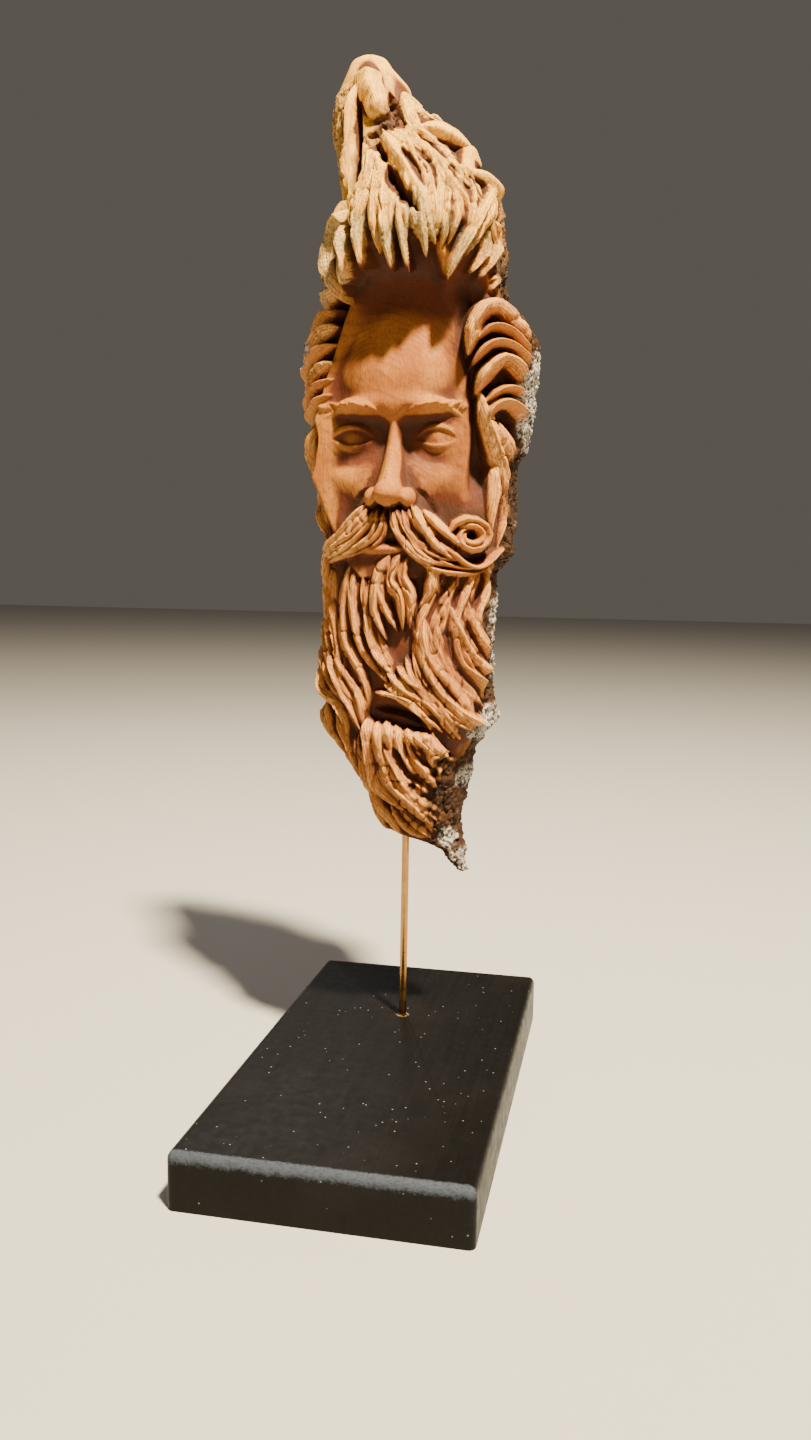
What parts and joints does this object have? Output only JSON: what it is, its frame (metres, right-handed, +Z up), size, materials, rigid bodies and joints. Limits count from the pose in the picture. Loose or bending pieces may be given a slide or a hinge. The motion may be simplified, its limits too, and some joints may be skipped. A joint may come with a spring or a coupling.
{
  "type": "tree face sculpture",
  "caption": "Bearded head with swept hair carved from thick bark, held upright by a thin brass rod on a rectangular black board",
  "frame": {"origin": "middle of the board's underside, on the surface that the sculpture stands on", "axes": "+Z up along the rod, -Y the way the face looks, +X to the right of someone who looks at the face"},
  "size_m": [0.1, 0.193, 0.4],
  "materials": {
    "bark_wood": "dry carved bark with fine growth lines, rough grey and dark bark left at the edges",
    "brass": "drawn brass rod, lightly polished",
    "black_painted_wood": "satin black paint on wood, worn grey along the front edge"
  },
  "bodies": {
    "root": {"bark_carving": "bark_wood", "brass_rod": "brass", "black_base": "black_painted_wood"}
  },
  "joints": []
}
